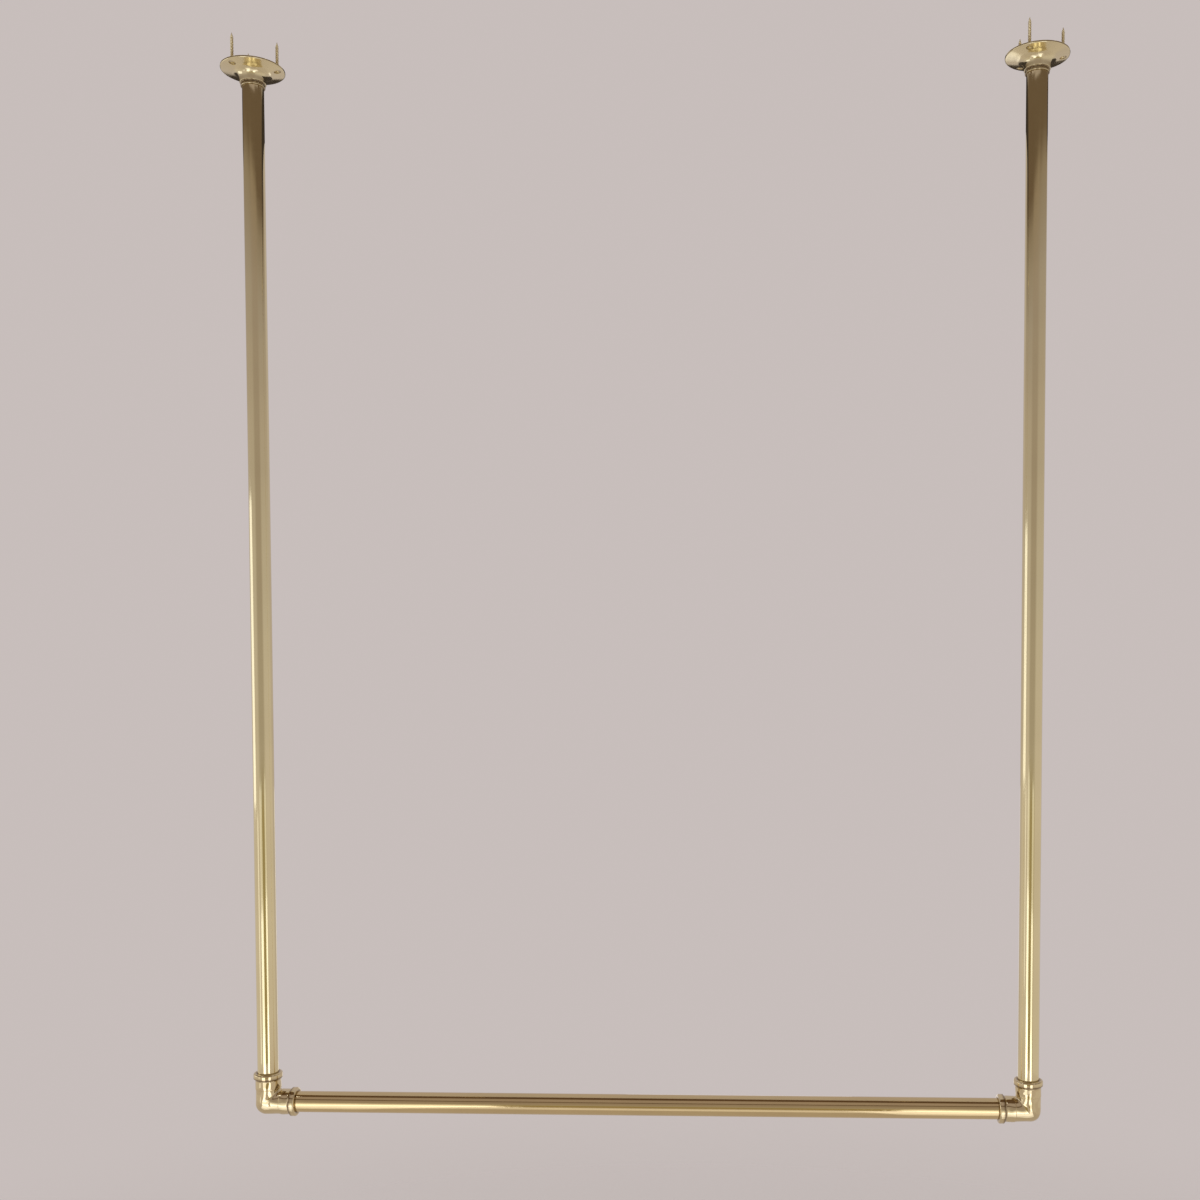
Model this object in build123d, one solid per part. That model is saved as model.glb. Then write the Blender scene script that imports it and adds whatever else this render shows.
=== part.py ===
from build123d import *
import os

# Ceiling clothes rail in polished brass, in millimetres.
# The ceiling face is z = 0, X runs along the hanging rail and +Y points to the back.

# Overall frame
TUBE_SPACING = 815.0      # between the axes of the two drop tubes
RAIL_DROP = 1095.0        # from the ceiling down to the axis of the hanging rail

# Drawn tube
TUBE_OD = 22.0
TUBE_WALL = 1.5
SOCKET_GAP = 0.1          # radial gap between a tube and its socket

# Turned ceiling flange
FLANGE_OD = 65.0
FLANGE_RIM = 1.8          # thickness at the rim
FLANGE_WEB = 3.0          # floor of the blind socket, against the ceiling
FLARE_FALL = 3.6          # fall of the flare from the rim to the neck
FLARE_HOLLOW = 8.0        # radius where the flare turns down into the neck
NECK_LENGTH = 9.6         # from the flare down to the lip of the neck
NECK_WALL = 2.3           # neck wall at the lip
NECK_TAPER = 1.0          # wall that the neck gains on its way up to the flare
COVE_LENGTH = 1.8         # hollow between the lip and the collar
COVE_WALL = 0.8
COLLAR_LENGTH = 2.2       # small rounded collar that hugs the tube
COLLAR_WALL = 1.3

# Cast elbow with a beaded mouth on each limb
ELBOW_REACH = 32.0        # from the crossing of the axes to each mouth
SOCKET_DEPTH = 17.0       # from the mouth to the seat of the tube
BODY_WALL = 1.9           # bend of the elbow, outside the socket radius
CORNER_ROUND = 10.0       # outer corner, seen from the front
SLEEVE_STEP = 0.4         # how far each socket sleeve stands proud of the bend
SLEEVE_START = 0.8        # from the inner crease of the bend to the start of the sleeve
BEAD_LENGTH = 5.8         # from the mouth to the foot of the bead
BEAD_RISE = 1.8           # bead above the sleeve
BEAD_ROUND = 1.8          # edge of the bead at the mouth
BEAD_EASE = 0.5           # edge of the bead at its foot
ROOT_RISE = 1.2           # foot of the bead, above the sleeve
ROOT_LENGTH = 1.0         # slope of that foot, along the limb
ROOT_HOLLOW = 3.0         # radius where the foot turns into the sleeve

# Countersunk wood screws, three to a flange
SCREW_COUNT = 3
SCREW_INSET = 6.5         # from the rim of the flange in to a screw's axis
SCREW_LENGTH = 30.0
SCREW_HEAD_OD = 6.8
SCREW_SHANK_OD = 2.6
SCREW_THREAD_OD = 3.5
SCREW_POINT = 5.0         # length of the point
SCREW_HOLE_GAP = 0.25     # radial gap round the thread in the flange
SCREW_HEAD_GAP = 0.1      # radial gap round the head
SCREW_SINK = 0.1          # head below the flare at its outer edge
RECESS_SPAN = 3.8         # cross recess in the head
RECESS_WIDTH = 1.0
RECESS_DEPTH = 1.5

# Grub screws at the back, one to a socket
GRUB_OD = 4.0
GRUB_LENGTH = 3.0
GRUB_GAP = 0.05           # radial gap round the thread
GRUB_TIP_GAP = 0.05       # between the tip and the tube
GRUB_CHAMFER = 0.4
GRUB_KEY = 2.0            # hexagon key, across flats
GRUB_KEY_DEPTH = 1.5
GRUB_IN_FLANGE = 8.5      # from the ceiling to the screw's axis
GRUB_IN_ELBOW = 3.7       # from the mouth to the screw's axis

tube_r = TUBE_OD / 2
passage_r = tube_r - TUBE_WALL
socket_r = tube_r + SOCKET_GAP
flange_r = FLANGE_OD / 2
screw_circle_r = flange_r - SCREW_INSET
body_r = socket_r + BODY_WALL
head_r = SCREW_HEAD_OD / 2
shank_r = SCREW_SHANK_OD / 2
grub_r = GRUB_OD / 2
tube_seat = ELBOW_REACH - SOCKET_DEPTH


def turned(corners):
    """Solid turned about Z from the corners of its half section: radius, height, rounding."""
    points = [(radius, 0, height) for radius, height, rounding in corners]
    roundings = [rounding for radius, height, rounding in corners]
    outline = FilletPolyline(*points, radius=roundings, close=True)
    return revolve(make_face(outline), Axis.Z)


def bored_tube(length):
    """Tube standing on the XY plane."""
    ring = Circle(tube_r) - Circle(passage_r)
    return extrude(ring, length)


def screw_places():
    """Places of the screws round a flange's axis, the first one towards +X."""
    return PolarLocations(screw_circle_r, SCREW_COUNT)


def head_height():
    """Height of a sunk screw head's flat, just inside the sloping flare."""
    neck_root_r = socket_r + NECK_WALL + NECK_TAPER
    slope = FLARE_FALL / (flange_r - neck_root_r)
    head_edge = SCREW_INSET - head_r
    return -(FLANGE_RIM + slope * head_edge) + SCREW_SINK


def screw():
    """Countersunk screw on the Z axis, point up, with its thread as a plain envelope."""
    flat = head_height()
    tip = flat + SCREW_LENGTH
    thread_r = SCREW_THREAD_OD / 2
    blank = turned([
        (0, flat, 0),
        (head_r, flat, 0),
        (shank_r, flat + head_r - shank_r, 0),
        (shank_r, 0, 0),
        (thread_r, 0, 0),
        (thread_r, tip - SCREW_POINT, 0),
        (0, tip, 0),
    ])
    bar = Rectangle(RECESS_SPAN, RECESS_WIDTH)
    cross = bar + Rot(0, 0, 90) * bar
    return blank - Pos(0, 0, flat) * extrude(cross, RECESS_DEPTH)


def screw_hole():
    """Countersunk hole on the Z axis for one screw, open below the head."""
    flat = head_height()
    hole_r = SCREW_THREAD_OD / 2 + SCREW_HOLE_GAP
    mouth_r = head_r + SCREW_HEAD_GAP
    below = FLANGE_RIM + FLARE_FALL + NECK_LENGTH
    return turned([
        (0, FLANGE_RIM, 0),
        (hole_r, FLANGE_RIM, 0),
        (hole_r, flat + mouth_r - hole_r, 0),
        (mouth_r, flat, 0),
        (mouth_r, -below, 0),
        (0, -below, 0),
    ])


def grub_screw():
    """Grub screw lying along Y, its tip just off the surface of a tube on the Z axis."""
    blank = extrude(Circle(grub_r), GRUB_LENGTH)
    blank = chamfer(blank.edges(), GRUB_CHAMFER)
    key = extrude(RegularPolygon(GRUB_KEY / 2, 6, major_radius=False), GRUB_KEY_DEPTH)
    blank = blank - Pos(0, 0, GRUB_LENGTH - GRUB_KEY_DEPTH) * key
    return Pos(0, tube_r + GRUB_TIP_GAP, 0) * Rot(-90, 0, 0) * blank


def grub_hole():
    """Hole along +Y from the Z axis for one grub screw."""
    return Rot(-90, 0, 0) * extrude(Circle(grub_r + GRUB_GAP), flange_r)


def flange():
    """Trumpet-shaped flange with a blind socket, three screw holes and a grub screw hole."""
    neck_top = -FLANGE_RIM - FLARE_FALL
    lip = neck_top - NECK_LENGTH
    collar = lip - COVE_LENGTH
    foot = collar - COLLAR_LENGTH
    lip_r = socket_r + NECK_WALL
    cove_r = socket_r + COVE_WALL
    collar_r = socket_r + COLLAR_WALL
    shoulder = lip_r - cove_r
    body = turned([
        (0, 0, 0),
        (flange_r, 0, 0),
        (flange_r, -FLANGE_RIM, FLANGE_RIM / 2),
        (lip_r + NECK_TAPER, neck_top, FLARE_HOLLOW),
        (lip_r, lip, shoulder / 4),
        (cove_r, lip, shoulder / 2),
        (cove_r, collar, 0),
        (collar_r, collar, (collar_r - cove_r) / 2),
        (collar_r, foot, (collar_r - socket_r) / 2),
        (socket_r, foot, 0),
        (socket_r, -FLANGE_WEB, 0),
        (0, -FLANGE_WEB, 0),
    ])
    holes = [place * screw_hole() for place in screw_places()]
    return body - holes - Pos(0, 0, -GRUB_IN_FLANGE) * grub_hole()


def elbow_limb():
    """One limb of the elbow, up the Z axis, cut off along the mitre of the bend."""
    corner = CORNER_ROUND - body_r
    sleeve_r = body_r + SLEEVE_STEP
    bead_r = sleeve_r + BEAD_RISE
    shoulder = ELBOW_REACH - BEAD_LENGTH
    limb = turned([
        (0, corner, 0),
        (body_r, corner, 0),
        (body_r, body_r + SLEEVE_START, 0),
        (sleeve_r, body_r + SLEEVE_START + SLEEVE_STEP, 0),
        (sleeve_r, shoulder - ROOT_LENGTH, ROOT_HOLLOW),
        (sleeve_r + ROOT_RISE, shoulder, 0),
        (bead_r, shoulder, BEAD_EASE),
        (bead_r, ELBOW_REACH, BEAD_ROUND),
        (0, ELBOW_REACH, 0),
    ])
    mitre = Plane(origin=(0, 0, 0), z_dir=(-1, 0, 1))
    return split(limb, bisect_by=mitre, keep=Keep.TOP)


def elbow_corner():
    """Rounded outside of the bend: the outer segment of the limb's section, turned by 90 degrees."""
    corner = CORNER_ROUND - body_r
    disc = Pos(0, 0, corner) * Circle(body_r)
    outer = Plane(origin=(corner, 0, corner), z_dir=(-1, 0, 0))
    segment = split(disc, bisect_by=outer, keep=Keep.TOP)
    return revolve(segment, Axis((corner, 0, corner), (0, -1, 0)), 90)


def elbow_bore():
    """Socket and passage of one limb, up the Z axis."""
    socket = Pos(0, 0, tube_seat) * extrude(Circle(socket_r), SOCKET_DEPTH)
    passage = extrude(Circle(passage_r), ELBOW_REACH)
    return socket + passage + Pos(0, 0, ELBOW_REACH - GRUB_IN_ELBOW) * grub_hole()


def elbow():
    """Elbow about the crossing of its axes, with one limb up +Z and the other along +X."""
    swap = Plane(origin=(0, 0, 0), z_dir=(1, 0, -1))
    limb = elbow_limb()
    bore = elbow_bore()
    body = limb + mirror(limb, about=swap) + elbow_corner()
    return body - bore - mirror(bore, about=swap) - Sphere(passage_r)


nodes = {}
for side, sign in (("left", -1), ("right", 1)):
    flange_place = Pos(sign * TUBE_SPACING / 2, 0, 0)
    elbow_place = flange_place * Pos(0, 0, -RAIL_DROP)
    towards_rail = Rot(0, -90 * sign, 0)

    # Flange against the ceiling, with its screws and its grub screw
    nodes[f"{side}_flange"] = flange_place * flange()
    for number, place in enumerate(screw_places(), start=1):
        nodes[f"{side}_flange_screw_{number}"] = flange_place * place * screw()
    nodes[f"{side}_flange_grub_screw"] = flange_place * Pos(0, 0, -GRUB_IN_FLANGE) * grub_screw()

    # Drop tube, from the floor of the flange's socket to the seat in the elbow
    drop_length = RAIL_DROP - FLANGE_WEB - tube_seat
    drop_foot = Pos(0, 0, tube_seat)
    nodes[f"{side}_drop_tube"] = elbow_place * drop_foot * bored_tube(drop_length)

    # Elbow, with a grub screw in each limb
    bend = elbow() if side == "left" else mirror(elbow(), about=Plane.YZ)
    in_limb = Pos(0, 0, ELBOW_REACH - GRUB_IN_ELBOW)
    nodes[f"{side}_elbow"] = elbow_place * bend
    nodes[f"{side}_elbow_drop_grub_screw"] = elbow_place * in_limb * grub_screw()
    nodes[f"{side}_elbow_rail_grub_screw"] = elbow_place * towards_rail * in_limb * grub_screw()

# Hanging rail between the seats of the two elbows
rail_length = TUBE_SPACING - 2 * tube_seat
rail_start = Pos(-rail_length / 2, 0, -RAIL_DROP) * Rot(0, 90, 0)
nodes["hanging_rail"] = rail_start * bored_tube(rail_length)

os.makedirs("parts", exist_ok=True)
for name, solid in nodes.items():
    export_step(solid, f"parts/{name}.step")
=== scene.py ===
from math import atan2, ceil, cos, hypot, pi, radians, sin, tan

import bmesh
import bpy
from mathutils import Matrix, Vector, noise


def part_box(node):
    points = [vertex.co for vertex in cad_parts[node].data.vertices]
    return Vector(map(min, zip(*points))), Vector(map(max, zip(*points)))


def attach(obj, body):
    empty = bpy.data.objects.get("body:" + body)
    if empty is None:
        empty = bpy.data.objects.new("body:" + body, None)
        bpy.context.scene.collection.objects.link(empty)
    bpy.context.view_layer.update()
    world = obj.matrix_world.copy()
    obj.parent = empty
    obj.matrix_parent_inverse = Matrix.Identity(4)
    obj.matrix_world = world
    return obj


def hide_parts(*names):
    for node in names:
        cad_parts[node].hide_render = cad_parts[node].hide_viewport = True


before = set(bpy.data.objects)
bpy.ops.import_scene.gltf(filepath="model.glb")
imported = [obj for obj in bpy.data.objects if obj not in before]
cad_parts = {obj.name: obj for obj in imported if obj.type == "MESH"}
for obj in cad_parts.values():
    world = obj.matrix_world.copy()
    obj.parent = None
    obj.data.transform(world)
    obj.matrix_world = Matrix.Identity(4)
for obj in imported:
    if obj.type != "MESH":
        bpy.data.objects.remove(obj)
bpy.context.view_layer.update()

# Ceiling flanges: two trumpet-shaped roses turned from brass bar, screwed flat to the ceiling.
# Each has a blind socket for a drop tube, three countersunk holes and a grub screw hole at the back.
# They are polished in the lathe, so the finest lines run round the axis; wax and painted shade darken the
# cove and the mouth of the socket.
MM = 0.001
SIDES = ("left", "right")
FLANGE_RIM = 1.8 * MM
FLARE_FALL = 3.6 * MM
FLARE_HOLLOW = 8.0 * MM
NECK_LENGTH = 9.6 * MM
NECK_TAPER = 1.0 * MM
LIP_R = 13.4 * MM
COVE_R = 11.9 * MM
COVE_LENGTH = 1.8 * MM
COVE_GRIME_AND_SHADE = 1.4 * MM
COLLAR_R = 12.4 * MM
COLLAR_LENGTH = 2.2 * MM
SOCKET_R = 11.1 * MM
FLANGE_WEB = 3.0 * MM
EDGE_BREAK = 0.25 * MM
FLANGE_SEGMENTS = 160
SCREW_HOLE_R = 2.0 * MM
SCREW_MOUTH_R = 3.5 * MM
SCREW_HOLE_SEGMENTS = 64
GRUB_HOLE_R = 2.05 * MM
GRUB_HOLE_SEGMENTS = 48
SHARP_ANGLE = radians(32)
BRASS = (0.86, 0.75, 0.45, 1)
# Dark brass tone for patches of age, and for the painted shade in the marked rings.
AGED_AND_SHADED_BRASS = (0.22, 0.15, 0.08, 1)


def rounded_outline(corners, run_step=1.0 * MM, arc_step=radians(7)):
    """Points along an open outline of (radius, height, rounding) corners, straight runs in even steps."""
    points = [Vector(corners[0][:2])]
    for before, corner, after in zip(corners, corners[1:], corners[2:] + [None]):
        here = Vector(corner[:2])
        arc = [here]
        if after and corner[2]:
            to_before = (Vector(before[:2]) - here).normalized()
            to_after = (Vector(after[:2]) - here).normalized()
            half = to_before.angle(to_after) / 2
            centre = here + (to_before + to_after).normalized() * corner[2] / sin(half)
            start = here + to_before * corner[2] / tan(half) - centre
            end = here + to_after * corner[2] / tan(half) - centre
            sweep = atan2(start.cross(end), start.dot(end))
            steps = ceil(abs(sweep) / arc_step)
            arc = [centre + Matrix.Rotation(sweep * step / steps, 2) @ start for step in range(steps + 1)]
        run = arc[0] - points[-1]
        runs = max(1, ceil(run.length / run_step))
        points += [points[-1] + run * step / runs for step in range(1, runs)] + arc
    return points


def turned_mesh(outline, segments):
    """Closed mesh turned about Z from the points of a half section, which the axis or its start closes."""
    bm = bmesh.new()
    row = [bm.verts.new((radius, 0, height)) for radius, height in outline]
    edges = [bm.edges.new(pair) for pair in zip(row, row[1:])]
    bmesh.ops.spin(bm, geom=row + edges, cent=(0, 0, 0), axis=(0, 0, 1), angle=2 * pi, steps=segments)
    return finished_mesh(bm)


def finished_mesh(bm):
    """Mesh from a bmesh, welded, with its faces outwards."""
    bmesh.ops.remove_doubles(bm, verts=bm.verts, dist=0.001 * MM)
    bmesh.ops.recalc_face_normals(bm, faces=bm.faces)
    mesh = bpy.data.meshes.new("form")
    bm.to_mesh(mesh)
    bm.free()
    return mesh


def cut_out(mesh, tools):
    """Mesh with the forms of its tools, pairs of a mesh and a place, cut away."""
    form = bmesh.new()
    for tool, place in tools:
        placed = tool.copy()
        placed.transform(place)
        form.from_mesh(placed)
    cutter = bpy.data.objects.new("cutter", finished_mesh(form))
    blank = bpy.data.objects.new("blank", mesh)
    bpy.context.collection.objects.link(cutter)
    bpy.context.collection.objects.link(blank)
    cut = blank.modifiers.new("cut", "BOOLEAN")
    cut.object = cutter
    cut.solver = "EXACT"
    depsgraph = bpy.context.evaluated_depsgraph_get()
    shaped = bpy.data.meshes.new_from_object(blank.evaluated_get(depsgraph))
    bpy.data.objects.remove(cutter)
    bpy.data.objects.remove(blank)
    return shaped


def mark_grime_and_painted_shade(mesh, rings, reach, limbs=(Matrix.Identity(3),)):
    """Vertex mask for grime and painted shade, 1 within half the reach of each limb's (radius, height)
    rings and falling to 0.
    """
    grime_shade_mask = mesh.attributes.new("grime_shade_mask", "FLOAT", "POINT")
    for vertex, value in zip(mesh.vertices, grime_shade_mask.data):
        places = [limb @ vertex.co for limb in limbs]
        gaps = [hypot(hypot(p.x, p.y) - radius, p.z - height) for p in places for radius, height in rings]
        value.value = min(1, max(0, 2 - 2 * min(gaps) / reach))


def fit_piece(name, mesh, place, node, finish):
    """Puts a finished mesh into the frame in place of its node."""
    mesh.name = name
    mesh.shade_smooth()
    mesh.set_sharp_from_angle(angle=SHARP_ANGLE)
    mesh.materials.append(finish)
    piece = bpy.data.objects.new(name, mesh)
    piece.matrix_world = place
    bpy.context.collection.objects.link(piece)
    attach(piece, "root")
    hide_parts(node)


def middle(node):
    """Centre of a node's box."""
    low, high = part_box(node)
    return (low + high) / 2


def add(tree, kind, sockets=None, **options):
    """New shader node with its options set, and each socket given a value or joined to an output."""
    made = tree.nodes.new("ShaderNode" + kind)
    for option, value in options.items():
        setattr(made, option, value)
    for socket, value in (sockets or {}).items():
        if isinstance(value, bpy.types.NodeSocket):
            tree.links.new(value, made.inputs[socket])
        else:
            made.inputs[socket].default_value = value
    return made


def remap(tree, value, source, target=(0, 1), smooth=False):
    """Output with a value carried over from one range to another."""
    ends = {0: value, 1: source[0], 2: source[1], 3: target[0], 4: target[1]}
    easing = "SMOOTHSTEP" if smooth else "LINEAR"
    return add(tree, "MapRange", ends, interpolation_type=easing).outputs[0]


def combine(tree, operation, first, second):
    """Output of one operation on two values."""
    return add(tree, "Math", {0: first, 1: second}, operation=operation).outputs[0]


def blend(tree, share, first, second):
    """Output with the colour that lies a share of the way between two colours."""
    return add(tree, "Mix", {0: share, 6: first, 7: second}, data_type="RGBA").outputs[2]


def new_group(name, inputs, outputs):
    """Empty shader node group with named sockets, and its two end nodes."""
    group = bpy.data.node_groups.new(name, "ShaderNodeTree")
    for socket, kind in inputs.items():
        group.interface.new_socket(socket, in_out="INPUT", socket_type="NodeSocket" + kind)
    for socket, kind in outputs.items():
        group.interface.new_socket(socket, in_out="OUTPUT", socket_type="NodeSocket" + kind)
    return group, group.nodes.new("NodeGroupInput"), group.nodes.new("NodeGroupOutput")


def brass_tone_group():
    """Clean brass that darkens in broad faint patches, and towards the marked rings with painted shade and
    grime, broken into specks.
    """
    sockets = {"Vector": "Vector", "GrimeShadeMask": "Float", "Clean": "Color", "AgedAndShaded": "Color"}
    group, given, result = new_group("brass_tone", sockets, {"Color": "Color", "Age": "Float"})
    broad = add(group, "TexNoise", {"Vector": given.outputs["Vector"], "Scale": 9.0, "Detail": 3.0})
    specks = add(group, "TexNoise", {"Vector": given.outputs["Vector"], "Scale": 420.0, "Detail": 4.0})
    patches = remap(group, broad.outputs[0], (0.42, 0.75), (0.0, 0.12))
    speckle = remap(group, specks.outputs[0], (0.3, 0.7), (0.7, 1.0))
    # Painted shade: the mask darkens the marked rings, broken into grimy specks.
    grimy_shade_specks = combine(group, "MULTIPLY", given.outputs["GrimeShadeMask"], speckle)
    age_and_shade = add(group, "Math", {0: patches, 1: grimy_shade_specks}, operation="ADD", use_clamp=True).outputs[0]
    tone = blend(group, age_and_shade, given.outputs["Clean"], given.outputs["AgedAndShaded"])
    group.links.new(tone, result.inputs["Color"])
    group.links.new(age_and_shade, result.inputs["Age"])
    return group


def hand_marks_group():
    """Smears and small prints left by handling, which dull the polish."""
    group, given, result = new_group("hand_marks", {"Vector": "Vector"}, {"Dulling": "Float"})
    place = given.outputs["Vector"]
    smears = add(group, "TexNoise", {"Vector": place, "Scale": 34.0, "Detail": 5.0, "Distortion": 1.4})
    prints = add(group, "TexNoise", {"Vector": place, "Scale": 160.0, "Detail": 3.0})
    both = combine(group, "MULTIPLY", smears.outputs[0], prints.outputs[0])
    group.links.new(remap(group, both, (0.17, 0.40)), result.inputs["Dulling"])
    return group


def fine_lines_group():
    """Fine polishing lines along a stretched vector, strong in some places and faint in others."""
    group, given, result = new_group("fine_lines", {"Vector": "Vector"}, {"Height": "Float"})
    place = given.outputs["Vector"]
    hair = add(group, "TexNoise", {"Vector": place, "Scale": 1.0, "Detail": 3.0, "Roughness": 0.7})
    score = add(group, "TexNoise", {"Vector": place, "Scale": 0.23, "Detail": 2.0})
    height = combine(group, "MULTIPLY", hair.outputs[0], score.outputs[0])
    group.links.new(height, result.inputs["Height"])
    return group


def round_axis_group():
    """Radius and height about the local Z axis, so that a texture runs round a turned piece."""
    group, given, result = new_group("round_axis", {"Vector": "Vector"}, {"Vector": "Vector"})
    x, y, z = add(group, "SeparateXYZ", {0: given.outputs["Vector"]}).outputs
    flat = add(group, "CombineXYZ", {0: x, 1: y})
    radius = add(group, "VectorMath", {0: flat.outputs[0]}, operation="LENGTH")
    pair = add(group, "CombineXYZ", {0: radius.outputs["Value"], 2: z})
    group.links.new(pair.outputs[0], result.inputs["Vector"])
    return group


BRASS_TONE = brass_tone_group()
HAND_MARKS = hand_marks_group()
FINE_LINES = fine_lines_group()
ROUND_AXIS = round_axis_group()


def new_metal(name):
    """New metal material with its node tree, its shader and the place of a point on the piece."""
    finish = bpy.data.materials.new(name)
    finish.use_nodes = True
    tree = finish.node_tree
    shader = tree.nodes["Principled BSDF"]
    shader.inputs["Metallic"].default_value = 1.0
    return finish, tree, shader, add(tree, "TexCoord").outputs["Object"]


def engrave_lines(tree, shader, place, stretch, depth, turned):
    """Fine lines in the metal, along the piece or, where it was turned, round its axis."""
    if turned:
        place = add(tree, "Group", {"Vector": place}, node_tree=ROUND_AXIS).outputs[0]
    grain = add(tree, "Mapping", {"Vector": place, "Scale": stretch})
    lines = add(tree, "Group", {"Vector": grain.outputs[0]}, node_tree=FINE_LINES)
    bump = add(tree, "Bump", {"Strength": 1.0, "Distance": depth, "Height": lines.outputs[0]})
    tree.links.new(bump.outputs[0], shader.inputs["Normal"])


def brass_finish(name, stretch, roughness, line_depth, turned=False, clean=BRASS):
    """Polished brass: stretch sets the run of its fine lines, roughness its range from clean to dulled."""
    finish, tree, shader, place = new_metal(name)
    # The mask puts grime and painted shade into the colour, and dulls the same rings.
    grime_shade_mask = add(tree, "Attribute", attribute_name="grime_shade_mask").outputs["Fac"]
    tone = add(tree, "Group", {"Vector": place, "GrimeShadeMask": grime_shade_mask, "Clean": clean, "AgedAndShaded": AGED_AND_SHADED_BRASS},
               node_tree=BRASS_TONE)
    tree.links.new(tone.outputs["Color"], shader.inputs["Base Color"])
    marks = add(tree, "Group", {"Vector": place}, node_tree=HAND_MARKS)
    dull = combine(tree, "MAXIMUM", marks.outputs[0], tone.outputs["Age"])
    tree.links.new(remap(tree, dull, (0, 1), roughness), shader.inputs["Roughness"])
    engrave_lines(tree, shader, place, stretch, line_depth, turned)
    return finish


flange_brass = brass_finish(
    "turned_brass", stretch=(2600, 2600, 2600), roughness=(0.09, 0.20), line_depth=0.002 * MM, turned=True)
flange_low, flange_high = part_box("left_flange")
flange_r = (flange_high.x - flange_low.x) / 2
neck_top = -FLANGE_RIM - FLARE_FALL
lip = neck_top - NECK_LENGTH
collar = lip - COVE_LENGTH
foot = collar - COLLAR_LENGTH
flange_outline = rounded_outline([
    (0, 0, 0),
    (flange_r, 0, EDGE_BREAK),
    (flange_r, -FLANGE_RIM, FLANGE_RIM / 2),
    (LIP_R + NECK_TAPER, neck_top, FLARE_HOLLOW),
    (LIP_R, lip, (LIP_R - COVE_R) / 4),
    (COVE_R, lip, (LIP_R - COVE_R) / 2),
    (COVE_R, collar, EDGE_BREAK / 2),
    (COLLAR_R, collar, (COLLAR_R - COVE_R) / 2),
    (COLLAR_R, foot, (COLLAR_R - SOCKET_R) / 2),
    (SOCKET_R, foot, EDGE_BREAK / 2),
    (SOCKET_R, -FLANGE_WEB, 0),
    (0, -FLANGE_WEB, 0),
])
head_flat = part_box("left_flange_screw_1")[0].z
screw_hole = turned_mesh([
    (0, FLANGE_RIM),
    (SCREW_HOLE_R, FLANGE_RIM),
    (SCREW_HOLE_R, head_flat + SCREW_MOUTH_R - SCREW_HOLE_R),
    (SCREW_MOUTH_R, head_flat),
    (SCREW_MOUTH_R, lip),
    (0, lip),
], SCREW_HOLE_SEGMENTS)
grub_hole = turned_mesh([
    (0, 0),
    (GRUB_HOLE_R, 0),
    (GRUB_HOLE_R, flange_r),
    (0, flange_r),
], GRUB_HOLE_SEGMENTS)
TO_BACK = Matrix.Rotation(-pi / 2, 4, "X")
for side in SIDES:
    axis = middle(f"{side}_flange") * Vector((1, 1, 0))
    tools = []
    for number in (1, 2, 3):
        screw_axis = middle(f"{side}_flange_screw_{number}") * Vector((1, 1, 0))
        tools.append((screw_hole, Matrix.Translation(screw_axis - axis)))
    grub_height = middle(f"{side}_flange_grub_screw").z
    tools.append((grub_hole, Matrix.Translation((0, 0, grub_height)) @ TO_BACK))
    form = cut_out(turned_mesh(flange_outline, FLANGE_SEGMENTS), tools)
    # Painted shade, speckled as wax, darkens the cove and the mouth of the socket.
    mark_grime_and_painted_shade(form, [(COVE_R, (lip + collar) / 2), (SOCKET_R, foot)], COVE_GRIME_AND_SHADE)
    place = Matrix.Translation(axis)
    fit_piece(f"flange.{side}", form, place, f"{side}_flange", flange_brass)

# Ceiling screws: three countersunk brass wood screws to a flange, with a cross recess in the head.
# The thread is rolled, starts just above the flange and runs out over the point, up in the ceiling.
# The heads sit flush in the flare, a little duller than the flange; wax and painted shade darken the recess
# and the rim of the head.
SCREW_POINT = 5.0 * MM
SCREW_TIP_R = 0.0325 * MM
SHANK_R = 1.3 * MM
THREAD_R = 1.75 * MM
THREAD_PITCH = 1.5 * MM
THREAD_START = 1.2 * MM
THREAD_ROWS = 9
CREST_SHARE = 0.30
SCREW_SEGMENTS = 40
HEAD_EDGE = 0.12 * MM
HEAD_STOP_SPREAD = 5
RECESS_ARM = 1.9 * MM
RECESS_HALF = 0.5 * MM
RECESS_DEPTH = 1.5 * MM
RECESS_TAPER = 0.55
RECESS_GRIME_AND_SHADE = 0.9 * MM


def threaded_mesh(rows, pitch, segments):
    """Round bar about Z from rows of (height, core radius, ridge), the ridge wound round it as a thread."""
    bm = bmesh.new()
    rings = []
    for height, core, ridge in rows:
        ring = []
        for step in range(segments):
            turn = step / segments
            phase = (height / pitch - turn) % 1
            radius = core + ridge * max(0, 1 - abs(phase - 0.5) / CREST_SHARE)
            ring.append(bm.verts.new((radius * cos(2 * pi * turn), radius * sin(2 * pi * turn), height)))
        rings.append(ring)
    for below, above in zip(rings, rings[1:]):
        for step in range(segments):
            bm.faces.new((below[step - 1], below[step], above[step], above[step - 1]))
    bm.faces.new(rings[0])
    bm.faces.new(rings[-1])
    return finished_mesh(bm)


def cross_recess_mesh(mouth, floor):
    """Cross-shaped recess between two heights, its arms narrowing towards the floor."""
    bm = bmesh.new()
    corners = ((RECESS_ARM, -RECESS_HALF), (RECESS_ARM, RECESS_HALF), (RECESS_HALF, RECESS_HALF))
    rings = []
    for height, share in ((mouth, 1), (floor, RECESS_TAPER)):
        ring = []
        for quarter in range(4):
            turn = Matrix.Rotation(quarter * pi / 2, 2)
            for corner in corners:
                point = turn @ Vector(corner) * share
                ring.append(bm.verts.new((point.x, point.y, height)))
        rings.append(ring)
    for step in range(len(rings[0])):
        bm.faces.new((rings[0][step - 1], rings[0][step], rings[1][step], rings[1][step - 1]))
    bm.faces.new(rings[0])
    bm.faces.new(rings[1])
    return finished_mesh(bm)


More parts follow.
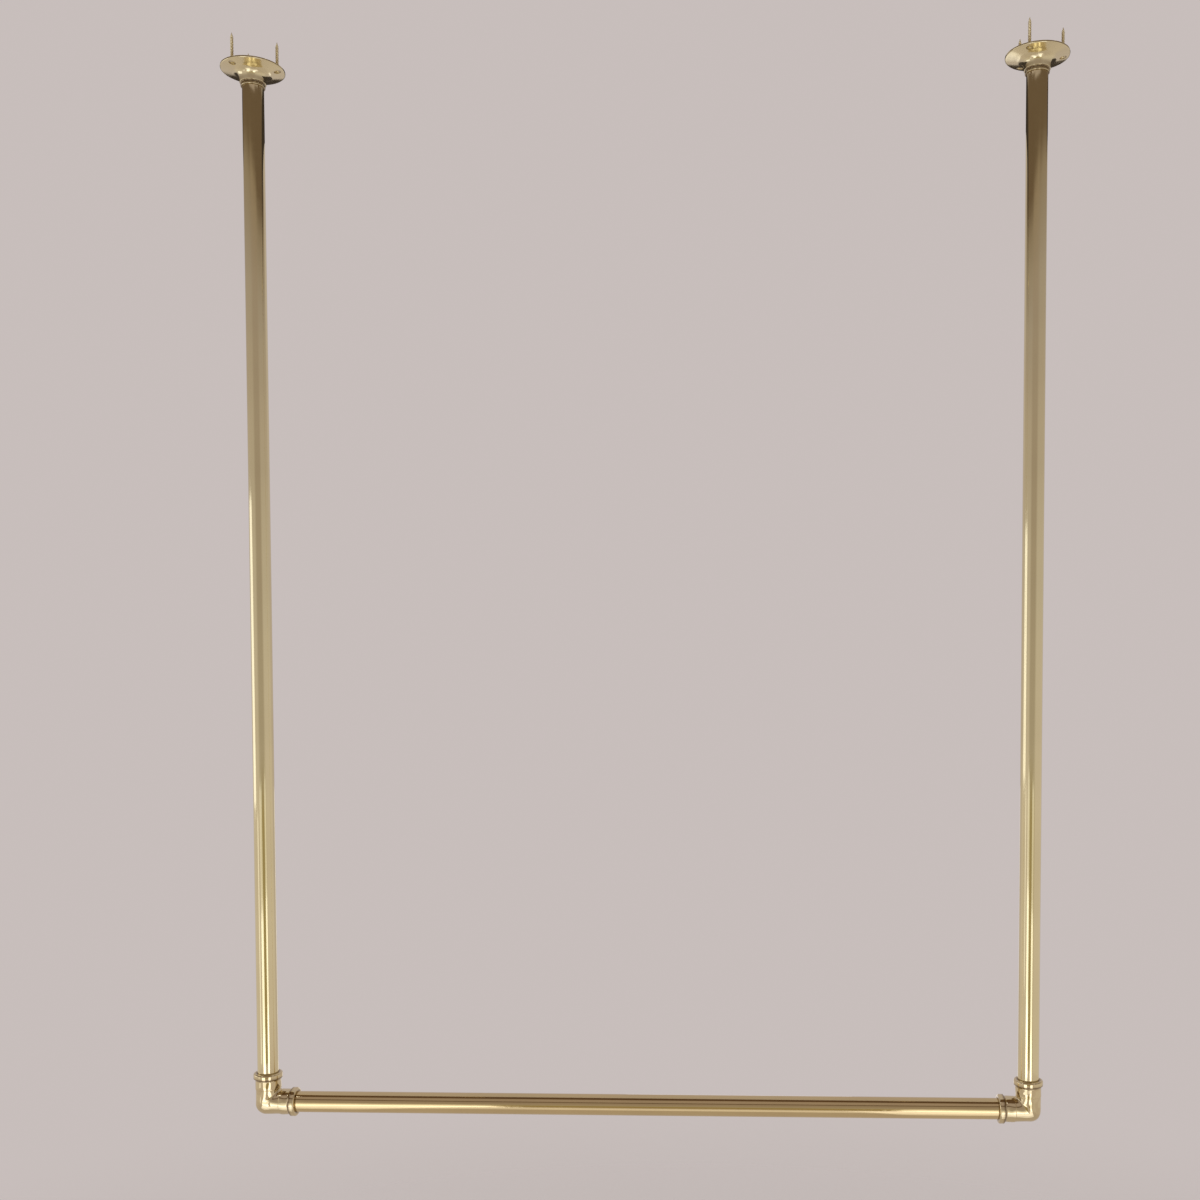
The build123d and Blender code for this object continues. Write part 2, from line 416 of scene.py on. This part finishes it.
def screw_rows(head_r, length):
    """Rows of one screw from the flat of its head at height 0 up to its point."""
    rows = [
        (0, head_r - HEAD_EDGE, 0),
        (HEAD_EDGE / 2, head_r - HEAD_EDGE / 4, 0),
        (HEAD_EDGE, head_r - HEAD_EDGE / 2, 0),
        (head_r - SHANK_R, SHANK_R, 0),
    ]
    start = THREAD_START - head_flat
    height = start
    while height < length:
        left = min(1, (length - height) / SCREW_POINT)
        lead = min(1, (height - start) / THREAD_PITCH)
        rows.append((height, SHANK_R * left, (THREAD_R - SHANK_R) * left ** 0.5 * lead))
        height += THREAD_PITCH / THREAD_ROWS
    return rows + [(length, SCREW_TIP_R, 0)]


screw_brass = brass_finish(
    "screw_brass", stretch=(900, 900, 900), roughness=(0.16, 0.34), line_depth=0.006 * MM)
for node in [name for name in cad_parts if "flange_screw" in name]:
    low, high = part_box(node)
    head_r = (high.x - low.x) / 2
    recess = cross_recess_mesh(-HEAD_EDGE, RECESS_DEPTH)
    blank = threaded_mesh(screw_rows(head_r, high.z - low.z), THREAD_PITCH, SCREW_SEGMENTS)
    form = cut_out(blank, [(recess, Matrix.Identity(4))])
    # Painted shade, speckled as wax, darkens the cross recess and the rim of the head.
    mark_grime_and_painted_shade(form, [(RECESS_HALF, RECESS_DEPTH), (head_r, 0)], RECESS_GRIME_AND_SHADE)
    axis = middle(node)
    turn = Matrix.Rotation(atan2(axis.y, axis.x) * HEAD_STOP_SPREAD, 4, "Z")
    place = Matrix.Translation((axis.x, axis.y, low.z)) @ turn
    name = node.replace("_flange_screw_", ".") + ".ceiling_screw"
    fit_piece(name, form, place, node, screw_brass)

# Drop tubes: two straight lengths of drawn brass tube, pushed up into the flanges and down into the elbows.
# The ends are cut square and deburred. Drawing and polishing both leave faint lines along the tube.
TUBE_WALL = 1.5 * MM
TUBE_END_BREAK = 0.3 * MM
TUBE_SEGMENTS = 128
TUBE_RUN_STEP = 30 * MM
TUBE_ARC_STEP = radians(30)
ALONG_TUBE = (1500, 1500, 9)


def drawn_tube_mesh(radius, length):
    """Tube up the Z axis from height 0, with eased ends."""
    bore = radius - TUBE_WALL
    outline = rounded_outline([
        (bore, length / 2, 0),
        (bore, 0, TUBE_END_BREAK),
        (radius, 0, TUBE_END_BREAK),
        (radius, length, TUBE_END_BREAK),
        (bore, length, TUBE_END_BREAK),
        (bore, length / 2, 0),
    ], TUBE_RUN_STEP, TUBE_ARC_STEP)
    return turned_mesh(outline, TUBE_SEGMENTS)


tube_brass = brass_finish(
    "drawn_brass", stretch=ALONG_TUBE, roughness=(0.07, 0.10), line_depth=0.0003 * MM)
for side in SIDES:
    node = f"{side}_drop_tube"
    low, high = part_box(node)
    form = drawn_tube_mesh((high.x - low.x) / 2, high.z - low.z)
    place = Matrix.Translation((middle(node).x, middle(node).y, low.z))
    fit_piece(f"drop_tube.{side}", form, place, node, tube_brass)

# Elbows: two cast brass bends that turn the frame from the drop tubes into the rail.
# Each limb is a socket with a bead turned at its mouth, and the bend between them is buffed by hand.
# The crease inside the bend is left with a small fillet, and the outer corner is rounded over.
ELBOW_REACH = 32.0 * MM
TUBE_SEAT = 15.0 * MM
BODY_R = 13.0 * MM
CORNER_ROUND = 10.0 * MM
CORNER_BLEND = 8.0 * MM
CREASE_FILLET = 1.0 * MM
SLEEVE_R = 13.4 * MM
SLEEVE_FOOT = 14.6 * MM
SLEEVE_EASE = 0.4 * MM
BEAD_R = 15.2 * MM
BEAD_LENGTH = 5.8 * MM
BEAD_ROUND = 1.8 * MM
BEAD_EASE = 0.5 * MM
BEAD_PAINTED_SHADE = 1.9 * MM
BEAD_ROOT = ELBOW_REACH - BEAD_LENGTH
ROOT_RISE = 1.2 * MM
ROOT_LENGTH = 1.0 * MM
ROOT_HOLLOW = 3.0 * MM
PASSAGE_R = 9.5 * MM
SEAT_RUN = 0.9 * MM
CAST_WAVE = 7.0 * MM
CAST_DEPTH = 0.4 * MM
CAST_BRASS = (0.78, 0.65, 0.38, 1)
ELBOW_SEGMENTS = 120
ELBOW_RUN_STEP = 1.5 * MM
BEND_STEPS = 16
BEND_RUNS = 7


def bend_radius(offset, radius):
    """Bend radius at an offset towards the outside: a fillet inside, the full round outside."""
    beyond = offset - radius + CORNER_ROUND - CREASE_FILLET
    return CREASE_FILLET + (beyond + hypot(beyond, CORNER_BLEND)) / 2


def section(radius):
    """Offsets outwards from the bend and backwards, round a circle."""
    steps = [2 * pi * step / ELBOW_SEGMENTS for step in range(ELBOW_SEGMENTS)]
    return [(radius * cos(angle), radius * sin(angle)) for angle in steps]


def limb_ring(radius, height):
    """Ring of the upright limb at one height."""
    return [Vector((-out, back, height)) for out, back in section(radius)]


def run_ring(radius, height, share):
    """Ring of the upright limb part of the way from a height down to the start of the bend."""
    ring = limb_ring(radius, height)
    for point in ring:
        bend_start = bend_radius(-point.x, radius) + point.x
        point.z += (bend_start - height) * share
    return ring


def bend_ring(radius, share):
    """Ring part of the way round the bend."""
    ring = []
    turn = share * pi / 2
    for out, back in section(radius):
        bend = bend_radius(out, radius)
        ring.append(Vector((bend - out - bend * cos(turn), back, bend - out - bend * sin(turn))))
    return ring


def elbow_mesh(hand):
    """Elbow about the crossing of its axes, one limb up and the other towards hand, +1 or -1, along X."""
    limb = rounded_outline([
        (BODY_R, SLEEVE_FOOT, 0),
        (SLEEVE_R, SLEEVE_FOOT + SLEEVE_R - BODY_R, SLEEVE_EASE),
        (SLEEVE_R, BEAD_ROOT - ROOT_LENGTH, ROOT_HOLLOW),
        (SLEEVE_R + ROOT_RISE, BEAD_ROOT, EDGE_BREAK / 2),
        (BEAD_R, BEAD_ROOT, BEAD_EASE),
        (BEAD_R, ELBOW_REACH, BEAD_ROUND),
        (SOCKET_R, ELBOW_REACH, EDGE_BREAK / 2),
        (SOCKET_R, TUBE_SEAT, 0),
        (PASSAGE_R, TUBE_SEAT, 0),
        (PASSAGE_R, TUBE_SEAT - SEAT_RUN, 0),
    ], ELBOW_RUN_STEP)
    runs = [step / BEND_RUNS for step in range(1, BEND_RUNS)]
    half = [run_ring(PASSAGE_R, TUBE_SEAT - SEAT_RUN, share) for share in reversed(runs)]
    half += [limb_ring(radius, height) for radius, height in reversed(limb)]
    half += [run_ring(BODY_R, SLEEVE_FOOT, share) for share in runs]
    other = [[Vector((point.z, point.y, point.x)) for point in ring] for ring in reversed(half)]
    shares = [step / BEND_STEPS for step in range(BEND_STEPS + 1)]
    outer_bend = [bend_ring(BODY_R, share) for share in shares]
    passage_bend = [bend_ring(PASSAGE_R, share) for share in reversed(shares)]
    bm = bmesh.new()
    rings = []
    for ring in half + outer_bend + other + passage_bend:
        rings.append([bm.verts.new((point.x * hand, point.y, point.z)) for point in ring])
    for index in range(len(rings)):
        for step in range(ELBOW_SEGMENTS):
            before, after = rings[index - 1], rings[index]
            bm.faces.new((before[step - 1], before[step], after[step], after[step - 1]))
    bm.normal_update()
    # Only the cast skin between the two bead roots is uneven: the turned mouths and the bores are true.
    skin_end = BEAD_ROOT - 2 * ROOT_LENGTH
    sleeve = next(step for step, (radius, height) in enumerate(limb) if height > skin_end)
    first = BEND_RUNS - 1 + len(limb) - sleeve
    last = len(half) + len(outer_bend) + BEND_RUNS - 1 + sleeve
    for ring in rings[first:last]:
        for vertex in ring:
            vertex.co += vertex.normal * noise.noise(vertex.co / CAST_WAVE) * CAST_DEPTH
    return finished_mesh(bm)


elbow_brass = brass_finish(
    "cast_brass", stretch=(700, 700, 700), roughness=(0.05, 0.11), line_depth=0.001 * MM, clean=CAST_BRASS)
for side, hand in zip(SIDES, (1, -1)):
    crossing = Vector((middle(f"{side}_drop_tube").x, 0, middle("hanging_rail").z))
    tools = []
    for limb in ("drop", "rail"):
        grub_axis = middle(f"{side}_elbow_{limb}_grub_screw") - crossing
        grub_axis.y = 0
        tools.append((grub_hole, Matrix.Translation(grub_axis) @ TO_BACK))
    form = cut_out(elbow_mesh(hand), tools)
    rail_limb = Matrix(((0, 0, 1), (0, 1, 0), (hand, 0, 0)))
    # Painted shade: dark rings under each bead and round the mouth stand for the shadow below the bead and
    # the gap at the tube.
    painted_shade_rings = [(BEAD_R, BEAD_ROOT), (SLEEVE_R + ROOT_RISE, BEAD_ROOT), (SOCKET_R, ELBOW_REACH)]
    mark_grime_and_painted_shade(form, painted_shade_rings, BEAD_PAINTED_SHADE, (Matrix.Identity(3), rail_limb))
    place = Matrix.Translation(crossing)
    fit_piece(f"elbow.{side}", form, place, f"{side}_elbow", elbow_brass)

# Hanging rail: the same drawn tube, laid level between the seats of the two elbows.
# It is given a darker, warmer brass tone than the drop tubes.
# Its local Z axis lies along the frame's X axis, so its lines run along it as on the drop tubes.
DARKER_RAIL_BRASS = (0.74, 0.58, 0.30, 1)
rail_brass = brass_finish(
    "darker_rail_brass", stretch=ALONG_TUBE, roughness=(0.07, 0.11), line_depth=0.0003 * MM, clean=DARKER_RAIL_BRASS)
low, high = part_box("hanging_rail")
form = drawn_tube_mesh((high.z - low.z) / 2, high.x - low.x)
rail_end = Matrix.Translation((low.x, middle("hanging_rail").y, middle("hanging_rail").z))
place = rail_end @ Matrix.Rotation(pi / 2, 4, "Y")
fit_piece("rail_tube", form, place, "hanging_rail", rail_brass)

# Grub screws: one at the back of each socket, black steel, with a hexagon recess and a blunt tip.
# They are driven in until the tip bears on the tube, and sit just below the surface.
GRUB_PITCH = 0.7 * MM
GRUB_THREAD = 0.32 * MM
GRUB_CHAMFER = 0.4 * MM
GRUB_SEGMENTS = 40
KEY_SIDES = 6
KEY_ACROSS = 2.0 * MM
KEY_R = KEY_ACROSS / 2 / cos(pi / KEY_SIDES)
KEY_DEPTH = 1.5 * MM
KEY_POINT = 0.5 * MM
BLACK_OXIDE = (0.035, 0.034, 0.036, 1)
WORN_OXIDE = (0.16, 0.155, 0.15, 1)


def black_oxide_finish():
    """Chemically blackened steel, worn to grey in small patches."""
    finish, tree, shader, place = new_metal("black_oxide")
    small = add(tree, "Mapping", {"Vector": place, "Scale": (8, 8, 8)})
    wear = add(tree, "Group", {"Vector": small.outputs[0]}, node_tree=HAND_MARKS).outputs[0]
    tree.links.new(blend(tree, wear, BLACK_OXIDE, WORN_OXIDE), shader.inputs["Base Color"])
    tree.links.new(remap(tree, wear, (0, 1), (0.48, 0.30)), shader.inputs["Roughness"])
    engrave_lines(tree, shader, place, (4000, 4000, 4000), 0.01 * MM, turned=True)
    return finish


def grub_rows(radius, length):
    """Rows of one grub screw from its tip at height 0 to its driven end."""
    core = radius - GRUB_THREAD
    end_r = radius - GRUB_CHAMFER - GRUB_THREAD / 2
    threaded = length - 2 * GRUB_CHAMFER
    steps = ceil(threaded / GRUB_PITCH * THREAD_ROWS)
    rows = [(0, end_r, 0), (GRUB_CHAMFER, core, 0)]
    rows += [(GRUB_CHAMFER + threaded * step / steps, core, GRUB_THREAD) for step in range(1, steps)]
    return rows + [(length - GRUB_CHAMFER, core, 0), (length, end_r, 0)]


black_oxide = black_oxide_finish()
for node in [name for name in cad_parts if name.endswith("grub_screw")]:
    low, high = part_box(node)
    length = high.y - low.y
    key = turned_mesh([
        (0, length + GRUB_CHAMFER),
        (KEY_R, length + GRUB_CHAMFER),
        (KEY_R, length - KEY_DEPTH + KEY_POINT),
        (0, length - KEY_DEPTH),
    ], KEY_SIDES)
    blank = threaded_mesh(grub_rows((high.z - low.z) / 2, length), GRUB_PITCH, GRUB_SEGMENTS)
    form = cut_out(blank, [(key, Matrix.Identity(4))])
    place = Matrix.Translation((middle(node).x, low.y, middle(node).z)) @ TO_BACK
    fit_piece(node.replace("_grub_screw", ".grub_screw"), form, place, node, black_oxide)

# Floor: a plain pale disc about a metre below the rail, which takes the soft shadow.
# Its edge fades into the backdrop, and from below it is clear, so that the rail shows from every side.
FLOOR_HEIGHT = -2.1
FLOOR_R = 3.2
FLOOR_STEPS = 96
FLOOR_FADE_START = 1.2
FLOOR_COLOUR = (0.66, 0.60, 0.585, 1)
bm = bmesh.new()
bmesh.ops.create_circle(bm, cap_ends=True, radius=FLOOR_R, segments=FLOOR_STEPS)
floor = bpy.data.objects.new("floor", finished_mesh(bm))
floor.location.z = FLOOR_HEIGHT
bpy.context.collection.objects.link(floor)
floor_finish = bpy.data.materials.new("floor_paint")
floor_finish.use_nodes = True
tree = floor_finish.node_tree
paint = tree.nodes["Principled BSDF"]
paint.inputs["Base Color"].default_value = FLOOR_COLOUR
paint.inputs["Roughness"].default_value = 0.9
paint.inputs["Specular IOR Level"].default_value = 0.1
reach = add(tree, "VectorMath", {0: add(tree, "TexCoord").outputs["Object"]}, operation="LENGTH")
fade = remap(tree, reach.outputs["Value"], (FLOOR_FADE_START, FLOOR_R), (1, 0), smooth=True)
above = combine(tree, "SUBTRACT", 1.0, add(tree, "NewGeometry").outputs["Backfacing"])
cover = combine(tree, "MULTIPLY", fade, above)
clear = add(tree, "BsdfTransparent")
mixed = add(tree, "MixShader", {0: cover, 1: clear.outputs[0], 2: paint.outputs[0]})
tree.links.new(mixed.outputs[0], tree.nodes["Material Output"].inputs["Surface"])
floor.data.materials.append(floor_finish)

# Backdrop: an even pale tone all round, which the camera and the polished brass both see.
# Other light from the surroundings is neutral and soft.
BACKDROP = (0.575, 0.515, 0.50, 1)
ROOM_LIGHT = (0.72, 0.70, 0.68, 1)
world = bpy.data.worlds.new("studio")
world.use_nodes = True
bpy.context.scene.world = world
tree = world.node_tree
path = add(tree, "LightPath")
shiny = combine(tree, "MAXIMUM", path.outputs["Is Glossy Ray"], path.outputs["Is Transmission Ray"])
seen = combine(tree, "MAXIMUM", path.outputs["Is Camera Ray"], shiny)
tree.links.new(blend(tree, seen, ROOM_LIGHT, BACKDROP), tree.nodes["Background"].inputs["Color"])

# Lamps: a small key lamp high up for the shadow, and daylight softboxes that the brass shows as streaks.
# In front, a bank of three stands on each side, dimmer towards its top, with panels on the floor before it.
# A small box is at the left, one is behind, a long window is far left, and two lamps hang above.
DAYLIGHT = (0.92, 0.98, 1.15)
PANEL_HEIGHT = FLOOR_HEIGHT + 0.02


def softbox(name, place, width, tall, radiance, target):
    """Rectangular lamp of even brightness, turned towards a point."""
    lamp = bpy.data.lights.new(name, "AREA")
    lamp.shape = "RECTANGLE"
    lamp.size = width
    lamp.size_y = tall
    lamp.energy = radiance * pi * width * tall
    lamp.color = DAYLIGHT
    box = bpy.data.objects.new(name, lamp)
    box.location = place
    box.rotation_euler = (Vector(target) - Vector(place)).to_track_quat("-Z", "Y").to_euler()
    box.visible_camera = False
    bpy.context.collection.objects.link(box)
    return box


key_lamp = softbox("key", (-0.4, -0.6, 2.6), width=0.3, tall=0.3, radiance=60, target=(0, 0, -1))
key_lamp.visible_glossy = False
for name, place, width, tall, radiance in (
    ("low_left", (-1.05, -2.2, -1.875), 1.0, 0.45, 1.6),
    ("low_right", (0.89, -2.2, -1.875), 0.72, 0.45, 1.6),
    ("left_glow", (-1.05, -2.2, -1.475), 1.0, 0.35, 1.0),
    ("right_glow", (0.89, -2.2, -1.475), 0.72, 0.35, 1.0),
    ("left_haze", (-1.05, -2.2, -1.125), 1.0, 0.35, 0.4),
    ("right_haze", (0.89, -2.2, -1.125), 0.72, 0.35, 0.4),
    ("low_side", (-1.585, -0.89, -1.22), 0.35, 0.55, 0.4),
    ("low_back", (0.1, 2.7, -1.5), 0.7, 1.0, 0.5),
    ("window_left", (-2.9, 0.0, -0.58), 1.8, 0.9, 0.75),
):
    softbox(name, place, width, tall, radiance, (0, 0, place[2])).visible_diffuse = False
for x, y, width, length, radiance in (
    (-1.0, -1.55, 0.8, 1.3, 0.95),
    (-1.0, -0.67, 0.8, 0.45, 0.5),
    (0.8, -1.55, 0.8, 1.3, 0.9),
    (0.8, -0.67, 0.8, 0.45, 0.5),
    (-0.1, -1.6, 1.0, 1.2, 0.35),
):
    panel = softbox("floor_panel", (x, y, PANEL_HEIGHT), width, length, radiance, (x, y, 0))
    panel.visible_diffuse = False
for x in (-1.7, 1.7):
    downlight = softbox("downlight", (x, -0.75, 1.5), width=0.35, tall=0.35, radiance=3, target=(0, 0, -1))
    downlight.visible_diffuse = False

# Curtain: a tall round curtain, a flat canopy that closes it and a narrow dark pelmet behind the flanges.
# They are no lamps, yet glow with set tones of painted light and shade, which only the brass shows, as the
# khaki and brown between the streaks. They keep no light off the floor.
CURTAIN_R = 3.4
CURTAIN_FOOT = FLOOR_HEIGHT
CURTAIN_TOP = 2.0
CURTAIN_STEPS = 96
SIDE_FROM_X = (1.1, 2.4)
SIDE_FROM_Y = (-0.6, 0.6)
BACK_FROM_Y = (1.6, 2.8)
PELMET_MIDDLE = Vector((0, 0.12, 0.015))
PELMET_TURN = Matrix.Rotation(pi / 2, 3, "X")
PELMET_SIZE = Vector((1.2, 0.09, 1))
DARK_CLOTH = (0.148, 0.107, 0.080, 1)
FRONT_CLOTH = (
    (-2.1, (0.36, 0.29, 0.15, 1)),
    (-1.15, (0.37, 0.31, 0.18, 1)),
    (-0.95, (0.44, 0.40, 0.37, 1)),
    (-0.15, (0.39, 0.34, 0.32, 1)),
    (0.7, (0.36, 0.31, 0.31, 1)),
    (1.08, (0.31, 0.25, 0.21, 1)),
    (1.2, DARK_CLOTH),
    (1.7, DARK_CLOTH),
    (1.8, (0.40, 0.34, 0.34, 1)),
)
SIDE_CLOTH = (
    (-1.1, (0.62, 0.57, 0.56, 1)),
    (-0.4, (0.56, 0.52, 0.52, 1)),
    (0.35, (0.44, 0.39, 0.39, 1)),
    (0.7, (0.38, 0.34, 0.35, 1)),
    (1.0, (0.30, 0.25, 0.22, 1)),
    (1.13, DARK_CLOTH),
)
BACK_CLOTH = (0.52, 0.47, 0.49, 1)
PELMET_CLOTH = (0.045, 0.036, 0.032, 1)
CANOPY_CLOTH = (
    (-1.32, (0.40, 0.34, 0.34, 1)),
    (-0.98, (0.12, 0.073, 0.044, 1)),
    (0.06, (0.12, 0.073, 0.044, 1)),
    (0.34, (0.52, 0.48, 0.52, 1)),
)


def cloth_glow_tones(tree, level, lowest, highest, tones):
    """Glow of the cloth, painted light and shade along one direction, through the given (level, tone)
    pairs.
    """
    ramp = add(tree, "ValToRGB", {0: remap(tree, level, (lowest, highest))})
    stops = ramp.color_ramp.elements
    for index, (level, tone) in enumerate(tones):
        stop = stops[index] if index < len(stops) else stops.new(1)
        stop.position = (level - lowest) / (highest - lowest)
        stop.color = tone
    return ramp.outputs[0]


def glowing_cloth_finish(name):
    """Emission material whose glow, as written, is the cloth's painted light and shade, with its place in
    the studio.
    """
    finish = bpy.data.materials.new(name)
    finish.use_nodes = True
    tree = finish.node_tree
    place = add(tree, "SeparateXYZ", {0: add(tree, "TexCoord").outputs["Object"]})
    glow = add(tree, "Emission")
    tree.links.new(glow.outputs[0], tree.nodes["Material Output"].inputs["Surface"])
    return finish, tree, place.outputs, glow.inputs["Color"]


def hang_cloth(name, bm, finish):
    """Stage piece that only reflections show."""
    cloth = bpy.data.objects.new(name, finished_mesh(bm))
    cloth.data.materials.append(finish)
    cloth.visible_camera = False
    cloth.visible_diffuse = False
    cloth.visible_shadow = False
    bpy.context.collection.objects.link(cloth)


curtain_cloth, tree, (x, y, z), colour = glowing_cloth_finish("curtain_cloth")
aside = add(tree, "Math", {0: x}, operation="ABSOLUTE").outputs[0]
side = remap(tree, aside, SIDE_FROM_X, smooth=True)
beside = remap(tree, y, SIDE_FROM_Y)
behind = remap(tree, y, BACK_FROM_Y, smooth=True)
front_tone = cloth_glow_tones(tree, z, CURTAIN_FOOT, CURTAIN_TOP, FRONT_CLOTH)
side_tone = cloth_glow_tones(tree, z, CURTAIN_FOOT, CURTAIN_TOP, SIDE_CLOTH)
tone = blend(tree, combine(tree, "MAXIMUM", side, beside), front_tone, side_tone)
tree.links.new(blend(tree, behind, tone, BACK_CLOTH), colour)
bm = bmesh.new()
foot_place = Matrix.Translation((0, 0, CURTAIN_FOOT))
bmesh.ops.create_circle(bm, radius=CURTAIN_R, segments=CURTAIN_STEPS, matrix=foot_place)
raised = bmesh.ops.extrude_edge_only(bm, edges=bm.edges)["geom"]
rim = [part for part in raised if isinstance(part, bmesh.types.BMVert)]
bmesh.ops.translate(bm, verts=rim, vec=(0, 0, CURTAIN_TOP - CURTAIN_FOOT))
hang_cloth("curtain", bm, curtain_cloth)

canopy_cloth, tree, (x, y, z), colour = glowing_cloth_finish("canopy_cloth")
tree.links.new(cloth_glow_tones(tree, y, -CURTAIN_R, CURTAIN_R, CANOPY_CLOTH), colour)
bm = bmesh.new()
top_place = Matrix.Translation((0, 0, CURTAIN_TOP))
bmesh.ops.create_circle(bm, cap_ends=True, radius=CURTAIN_R, segments=CURTAIN_STEPS, matrix=top_place)
hang_cloth("canopy", bm, canopy_cloth)

pelmet_cloth, tree, place, colour = glowing_cloth_finish("pelmet_cloth")
colour.default_value = PELMET_CLOTH
bm = bmesh.new()
pelmet_place = Matrix.LocRotScale(PELMET_MIDDLE, PELMET_TURN, PELMET_SIZE)
bmesh.ops.create_grid(bm, x_segments=1, y_segments=1, size=0.5, matrix=pelmet_place)
hang_cloth("pelmet", bm, pelmet_cloth)

# Camera: about 1.4 m in front, near the middle height of the drop tubes and almost square on to the rail.
# The lens axis lies to the right of and below the picture's middle, as in the photograph.
PICTURE = 1200
FOCAL_SHARE = 1286 / PICTURE
AXIS_ASIDE = 693 / PICTURE - 0.5
AXIS_DROP = 720 / PICTURE - 0.5
CAMERA_PLACE = Vector((0.101, -1.357, -0.627))
YAW = radians(-2.03)
PITCH = radians(-2.33)
ROLL = radians(-0.10)
lens = bpy.data.cameras.new("camera")
lens.sensor_width = 36
lens.lens = lens.sensor_width * FOCAL_SHARE
lens.shift_x = -AXIS_ASIDE
lens.shift_y = AXIS_DROP
camera = bpy.data.objects.new("camera", lens)
forward = Vector((sin(YAW) * cos(PITCH), cos(YAW) * cos(PITCH), sin(PITCH)))
right = Vector((cos(YAW), -sin(YAW), 0))
up = right.cross(forward)
right, up = right * cos(ROLL) + up * sin(ROLL), up * cos(ROLL) - right * sin(ROLL)
camera.matrix_world = Matrix.Translation(CAMERA_PLACE) @ Matrix((right, up, -forward)).transposed().to_4x4()
bpy.context.collection.objects.link(camera)
bpy.context.scene.camera = camera
bpy.context.scene.view_settings.view_transform = "Standard"
